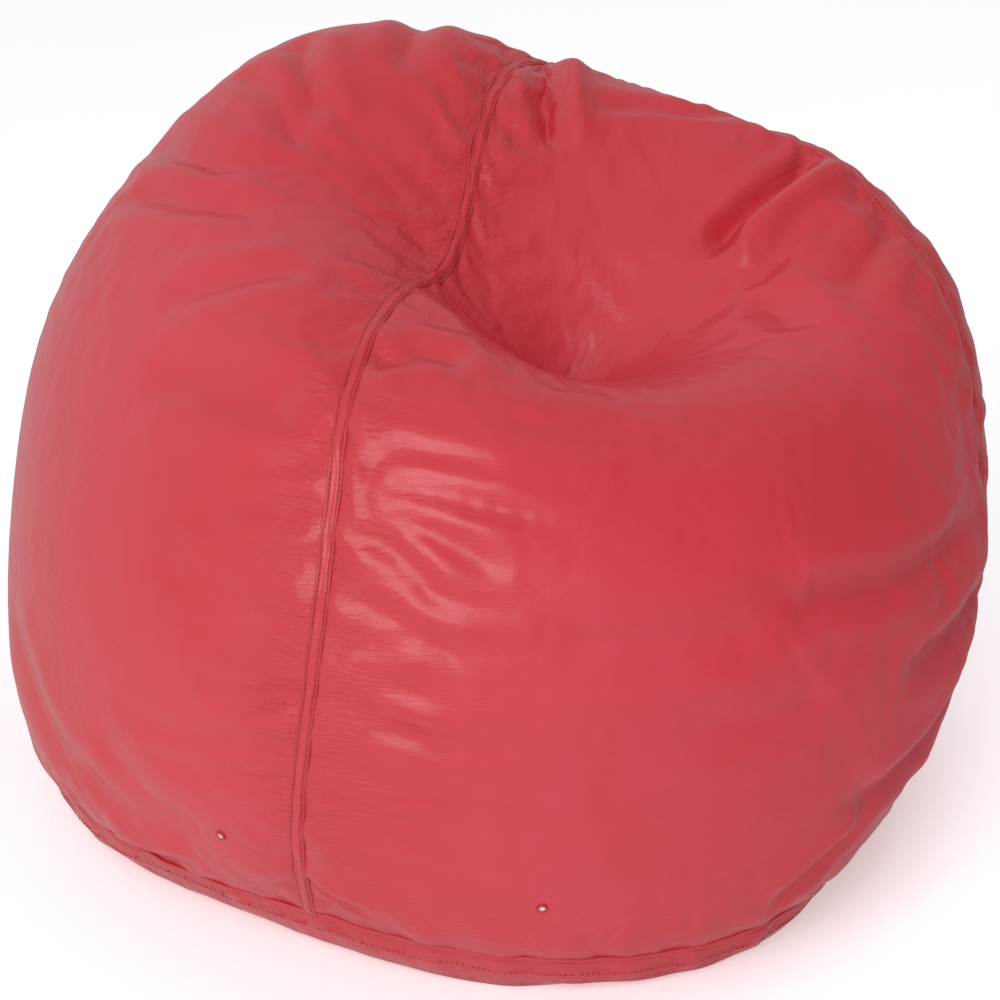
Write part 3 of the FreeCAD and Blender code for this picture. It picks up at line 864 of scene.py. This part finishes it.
def sewing_thread_finish():
    f = Finish("sewing_thread")
    twist = f.noise(900, 1, 0.5, 0.0)
    colour = f.mixed(twist, tint(0.40, 0.016, 0.022), tint(0.54, 0.030, 0.040))
    return f.shaded(Base_Color=colour, Roughness=0.55, Normal=f.bumps(twist, 0.0002), Sheen_Weight=0.2)


sewing_thread = sewing_thread_finish()
for side in SIDES:
    line, length = evenly(eased(seam_line(side).copy(), times=5), BAND_STEP)
    seam_frames = frames_along(line)
    strip = piece(side + "_seam_band", band(seam_frames, BAND_HALF, felled), strip_vinyl)
    thick(strip, 0.0009, 0)
    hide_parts(side + "_seam_strip")
    sewn = []
    fine, _ = evenly(line, STITCH)
    stitch_frames = frames_along(fine)
    for shift in (-ROW_SHIFT, ROW_SHIFT):
        sewn.append(sewn_row(stitch_frames, shift, 0.0013, 1))
    thread = piece(side + "_seam_stitches", stitches(sewn), sewing_thread)
    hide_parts(side + "_seam_thread")
    print(side, "seam", round(length, 3), "m,", len(sewn[0]) + len(sewn[1]), "stitches")

# %% [markdown]
# The base seam is closed with a thin welt, a cord wrapped in vinyl, which shows as a narrow ridge
# right round the bag. Its stitches run just under it on the base panel. The crown's stitches run
# just inside the edge of the crown cap.

# %% Welt, base stitches and crown stitches
def ring_line(row):
    return places[number[row, :]]


def ring(points, step):
    """A closed line, evenly spaced, without its last point repeated."""
    line, length = evenly(np.vstack([points, points[:1]]), step)
    return eased(line[:-1].copy(), True), length


line, length = ring(ring_line(BASE_ROW), 0.004)
welt_frames = frames_along(line, True)
bm = bmesh.new()
bmesh.ops.create_grid(bm, x_segments=10, y_segments=len(welt_frames), size=1)
for v in bm.verts:
    k = int(round((v.co.y + 1) / 2 * len(welt_frames))) % len(welt_frames)
    place, along, across, outward = welt_frames[k]
    turn = v.co.x * math.pi
    full = 0.0019 + 0.0002 * math.sin(k * 0.37) * math.sin(k * 0.11)
    v.co = place + outward * (0.0006 + full * 0.8 * math.cos(turn)) + across * full * math.sin(turn)
bmesh.ops.remove_doubles(bm, verts=bm.verts, dist=1e-5)
bmesh.ops.recalc_face_normals(bm, faces=bm.faces)
welt = piece("base_welt", bm, strip_vinyl)
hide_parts("base_seam_cord")
print("base welt", round(length, 3), "m round")

line, length = ring(ring_line(BASE_ROW - 2), STITCH)
thread = piece("base_seam_stitches", stitches([sewn_row(frames_along(line, True), 0, 0.0008, 1)]),
               sewing_thread)
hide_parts("base_seam_thread")
line, length = ring(ring_line(CROWN_ROW + 1), STITCH)
thread = piece("crown_stitches", stitches([sewn_row(frames_along(line, True), 0, 0.0008, 1)]),
               sewing_thread)
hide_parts("crown_thread")

# %% [markdown]
# The breather vents let air out when the child sits down: a small moulded eyelet with a disc of
# pale gauze in it. The eyelet's section is drawn once and spun.

# %% Breather vents
def stand_on(place, normal):
    """A matrix that stands a piece made at the origin on a place, along a normal."""
    return Matrix.Translation(place) @ normal.to_track_quat("Z", "X").to_matrix().to_4x4()


def eyelet(bm):
    """A ring: its section, spun once round."""
    section = [(0.0022, -0.0008), (0.0022, 0.0007), (0.0026, 0.0012), (0.0034, 0.0012), (0.0041, 0.0008),
               (0.0042, 0.0000), (0.0042, -0.0008)]
    verts = [bm.verts.new((x, 0, z)) for x, z in section]
    edges = [bm.edges.new(pair) for pair in zip(verts, verts[1:] + verts[:1])]
    bmesh.ops.spin(bm, geom=verts + edges, cent=(0, 0, 0), axis=(0, 0, 1), steps=28,
                   angle=2 * math.pi, use_merge=True)


rings, discs = bmesh.new(), bmesh.new()
for middle, outward in vent_spots:
    spot = stand_on(middle + outward * 0.0003, outward)
    one = bmesh.new()
    eyelet(one)
    bmesh.ops.transform(one, matrix=spot, verts=one.verts)
    part = bpy.data.meshes.new("part")
    one.to_mesh(part)
    one.free()
    rings.from_mesh(part)
    bmesh.ops.create_circle(discs, cap_ends=True, segments=28, radius=0.0022,
                            matrix=spot @ Matrix.Translation((0, 0, 0.0006)))
bmesh.ops.recalc_face_normals(rings, faces=rings.faces)
f = Finish("vent_plastic")
speck = f.noise(420, 2)
vent_plastic = f.shaded(Base_Color=f.mixed(speck, tint(0.40, 0.014, 0.020), tint(0.50, 0.020, 0.026)),
                        Roughness=speck * 0.1 + 0.33, Normal=f.bumps(speck, 0.0001))
f = Finish("vent_gauze")
weave = f.node("ShaderNodeTexVoronoi", {"feature": "DISTANCE_TO_EDGE"},
               {"Vector": f.object_place(), "Scale": 2200.0}, output="Distance").between(0.02, 0.12)
vent_gauze = f.shaded(Base_Color=f.mixed(weave, tint(0.60, 0.60, 0.58), tint(0.90, 0.90, 0.88)),
                      Roughness=weave * 0.2 + 0.6, Normal=f.bumps(weave, 0.0002))
vents = piece("vent_rings", rings, vent_plastic)
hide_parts("vent_eyelets")
gauze = thick(piece("vent_discs", discs, vent_gauze, False), 0.0004, 0)
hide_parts("vent_gauzes")
print(len(VENTS), "vents")

# %% [markdown]
# Across the underside run two zips, one in the cover and one in the liner. Neither is seen, but
# both work: the slider has its own body. A coil zip's teeth are turns of a bent wire, so each tooth
# here is a small rounded grain, repeated along both tapes. The tapes are woven strips.

# %% Zips
def woven(name, first, second, scale):
    """Two sets of threads crossing."""
    f = Finish(name)
    place = f.object_place()
    warp = f.node("ShaderNodeTexWave", {"wave_type": "BANDS", "bands_direction": "X"},
                  {"Vector": place, "Scale": scale, "Distortion": 0.4})
    weft = f.node("ShaderNodeTexWave", {"wave_type": "BANDS", "bands_direction": "Y"},
                  {"Vector": place, "Scale": scale, "Distortion": 0.4})
    cloth = warp * weft
    return f.shaded(Base_Color=f.mixed(cloth, first, second), Roughness=cloth * -0.1 + 0.85,
                    Normal=f.bumps(cloth, 0.0002), Sheen_Weight=0.2)


zip_tape = woven("zip_tape", tint(0.30, 0.012, 0.016), tint(0.46, 0.024, 0.030), 500)
liner_cloth = woven("liner_cloth", tint(0.62, 0.60, 0.56), tint(0.80, 0.78, 0.74), 420)
f = Finish("zip_coil")
fleck = f.noise(700, 2)
zip_coil = f.shaded(Base_Color=f.mixed(fleck, tint(0.34, 0.014, 0.018), tint(0.44, 0.020, 0.026)),
                    Roughness=fleck * 0.1 + 0.35, Normal=f.bumps(fleck, 0.0001))
f = Finish("zip_metal")
scuff = f.noise(300, 4, 0.6, 0.5)
zip_metal = f.shaded(Base_Color=f.mixed(scuff, tint(0.52, 0.06, 0.08), tint(0.40, 0.03, 0.05)),
                     Roughness=scuff * 0.25 + 0.25, Normal=f.bumps(scuff, 0.0001))


def slab_in(low, high, soften=0.0002):
    """A slab that fills a box, softened at its edges."""
    bm = bmesh.new()
    bmesh.ops.create_cube(bm, size=1, matrix=Matrix.Translation((low + high) / 2)
                          @ Matrix.Diagonal((high - low).to_4d()))
    bmesh.ops.bevel(bm, geom=bm.edges[:], offset=soften, segments=2, profile=0.5, affect="EDGES",
                    material=-1)
    return bm


for name in ("cover_zip", "liner_zip"):
    for half, sign in (("front", -1), ("rear", 1)):
        low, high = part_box(f"{name}_tape_{half}")
        tape = piece(f"{name}_{half}_tape", slab_in(low, high), zip_tape, False)
        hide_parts(f"{name}_tape_{half}")
        low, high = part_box(f"{name}_coil_{half}")
        pitch, middle = 0.0020, (low + high) / 2
        tooth = Matrix.Diagonal((0.0007, (high.y - low.y) / 2, (high.z - low.z) / 2, 1))
        teeth = grains([Matrix.Translation((low.x + pitch * (k + 0.5), middle.y, middle.z)) @ tooth
                        for k in range(int((high.x - low.x) / pitch))])
        coil = piece(f"{name}_{half}_teeth", teeth, zip_coil)
        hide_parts(f"{name}_coil_{half}")
    for part in ("slider", "stops"):
        node = nodes[f"{name}_{part}"]
        node.data.materials.clear()
        node.data.materials.append(zip_metal)

# %% [markdown]
# The layers inside follow the cover without its sharp folds: the skin is smoothed, then pressed in
# wherever the smoothing would have come out through a valley.

# %% Layers under the skin
def under(points, depth, floor, rounds=10):
    """The skin's points moved inward by at least depth, without the folds."""
    real = points[number]
    soft = real.copy()
    for _ in range(rounds):
        beside = (np.roll(soft, 1, axis=1) + np.roll(soft, -1, axis=1)) / 2
        soft[1:-1] = soft[1:-1] * 0.4 + beside[1:-1] * 0.3 + (soft[:-2] + soft[2:]) * 0.15
    flat = np.empty_like(points)
    flat[number] = soft
    normal = skin_normals(flat)
    proud = np.maximum(((flat - points) * normal).sum(1), 0)[number]
    for _ in range(3):
        proud = np.maximum(proud, np.maximum(np.roll(proud, 1, axis=1), np.roll(proud, -1, axis=1)))
        proud[1:-1] = np.maximum(proud[1:-1], np.maximum(proud[:-2], proud[2:]))
    extra = np.empty(len(points))
    extra[number] = proud
    layer = flat - normal * (depth + extra)[:, None]
    layer[:, 2] = np.maximum(layer[:, 2], floor)
    return layer


liner_layer, bead_layer = under(places, 0.0022, 0.0058), under(places, 0.0042, 0.010)
print("the beads lie", round(float(np.linalg.norm(bead_layer - places, axis=1).mean()) * 1000, 1),
      "mm inside the cover on average")

# %% [markdown]
# Behind the cover's zip hangs a guard flap, a thin strip of liner cloth, which keeps beads out of the teeth.
# The liner is the skin again, a little inside the cover, and the beads fill it.

# %% Guard flap, liner and beads
low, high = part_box("zip_guard_flap")
bm = bmesh.new()
bmesh.ops.create_grid(bm, x_segments=60, y_segments=10, size=0.5, matrix=Matrix.Translation((low + high) / 2)
                      @ Matrix.Diagonal((high.x - low.x, high.y - low.y, 1, 1)))
for v in bm.verts:
    v.co.z += 0.00006 * math.sin(v.co.x * 90) * math.sin(v.co.y * 170)
flap = thick(piece("guard_flap", bm, liner_cloth), 0.0004, 0)
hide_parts("zip_guard_flap")

liner = thick(piece("liner_bag", cut_from_skin(BASE_ROW - 3, ROWS, spots=liner_layer), liner_cloth), 0.0004, 0)
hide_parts("liner_body")


def flat_disc(sign, z, share):
    """Half of a level disc with the outline of the floor contact, drawn in a little."""
    bm = cut_from_skin(0, BASE_ROW - 9)
    for v in bm.verts:
        v.co = (v.co.x * share, v.co.y * share, z)
    for y in (ZIP_Y, ZIP_Y + sign * SLOT_HALF):
        sliced(bm, (0, y, 0), (0, 1, 0))
    for x in (-SLOT_LONG, SLOT_LONG):
        sliced(bm, (x, 0, 0), (1, 0, 0))
    gone = []
    for face in bm.faces:
        middle = face.calc_center_median()
        beyond = (middle.y - ZIP_Y) * sign
        if beyond < 0 or (beyond < SLOT_HALF and abs(middle.x) < SLOT_LONG):
            gone.append(face)
    bmesh.ops.delete(bm, geom=gone, context="FACES")
    return bm


for name, sign in (("liner_base_front", -1), ("liner_base_rear", 1)):
    half = thick(piece(name.replace("base", "floor"), flat_disc(sign, 0.0058, 0.985), liner_cloth), 0.0004, 0)
    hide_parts(name)

f = Finish("foam_beads")
beads = f.node("ShaderNodeTexVoronoi", {"feature": "F1"}, {"Vector": f.object_place(), "Scale": 260.0},
               output="Distance")
# painted shade: white bead middles turn grey towards each bead's edge and into the gaps between beads
bead_colour_with_gap_shade = f.mixed(beads.between(0.3, 0.9), tint(0.90, 0.90, 0.88), tint(0.55, 0.55, 0.54))
foam_beads = f.shaded(Base_Color=bead_colour_with_gap_shade,
                      Roughness=beads * 0.1 + 0.7, Normal=f.bumps(1 - beads, 0.002))
fill = piece("bead_mass", cut_from_skin(0, ROWS, spots=bead_layer), foam_beads)
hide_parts("bead_fill")
print("liner and beads made")

# %% [markdown]
# A plain pale floor and soft studio light: one broad lamp from the upper left near the camera for
# the sheen on the front, two weaker ones from above and from the right, and a white surround that
# fills the shade. The floor and the weaker lamps are kept out of the reflections.

# %% Studio
bm = bmesh.new()
bmesh.ops.create_grid(bm, x_segments=2, y_segments=2, size=8, matrix=Matrix.Translation((0, 0, -0.0004)))
f = Finish("floor_paint")
mottle = f.noise(2.5, 3)
paint = f.shaded(Base_Color=f.mixed(mottle, tint(0.86, 0.86, 0.86), tint(0.90, 0.90, 0.90)), Roughness=0.6,
                 Emission_Color=tint(1, 1, 1), Emission_Strength=0.38)
mesh = bpy.data.meshes.new("floor")
bm.to_mesh(mesh)
bm.free()
mesh.materials.append(paint)
floor = bpy.data.objects.new("floor", mesh)
bpy.context.scene.collection.objects.link(floor)

world = bpy.data.worlds.new("studio")
bpy.context.scene.world = world
f = Finish("studio", world)
towards = f.node("ShaderNodeTexCoord", output="Generated")
rightward = f.node("ShaderNodeSeparateXYZ", None, {"Vector": towards}, output="X")
seen = f.node("ShaderNodeLightPath", output="Is Camera Ray")
surround = f.node("ShaderNodeBackground", None,
                  {"Color": tint(0.97, 0.97, 1.0),
                   "Strength": (0.49 - 0.30 * rightward) * (1 - seen) + seen * 0.94})
f.node("ShaderNodeOutputWorld", None, {"Surface": surround})
bpy.context.scene.view_settings.view_transform = "Standard"
for name, place, wide, power in (("key", (-0.9, -2.4, 2.3), 2.0, 48), ("top", (0.9, 0.2, 3.0), 1.6, 21),
                                ("front", (1.3, -2.6, 1.0), 1.0, 6)):
    lamp = bpy.data.lights.new(name, "AREA")
    lamp.size, lamp.energy, lamp.color = wide, power, (0.97, 0.97, 1.0)
    # only the key lamp shows in the vinyl; the others light it as lamps behind a polarising sheet do
    bpy.data.objects.new(name, lamp).visible_glossy = name == "key"
    aimed(bpy.data.objects[name], place, (0, 0, 0.25))
floor.visible_glossy = False
print("studio lit")
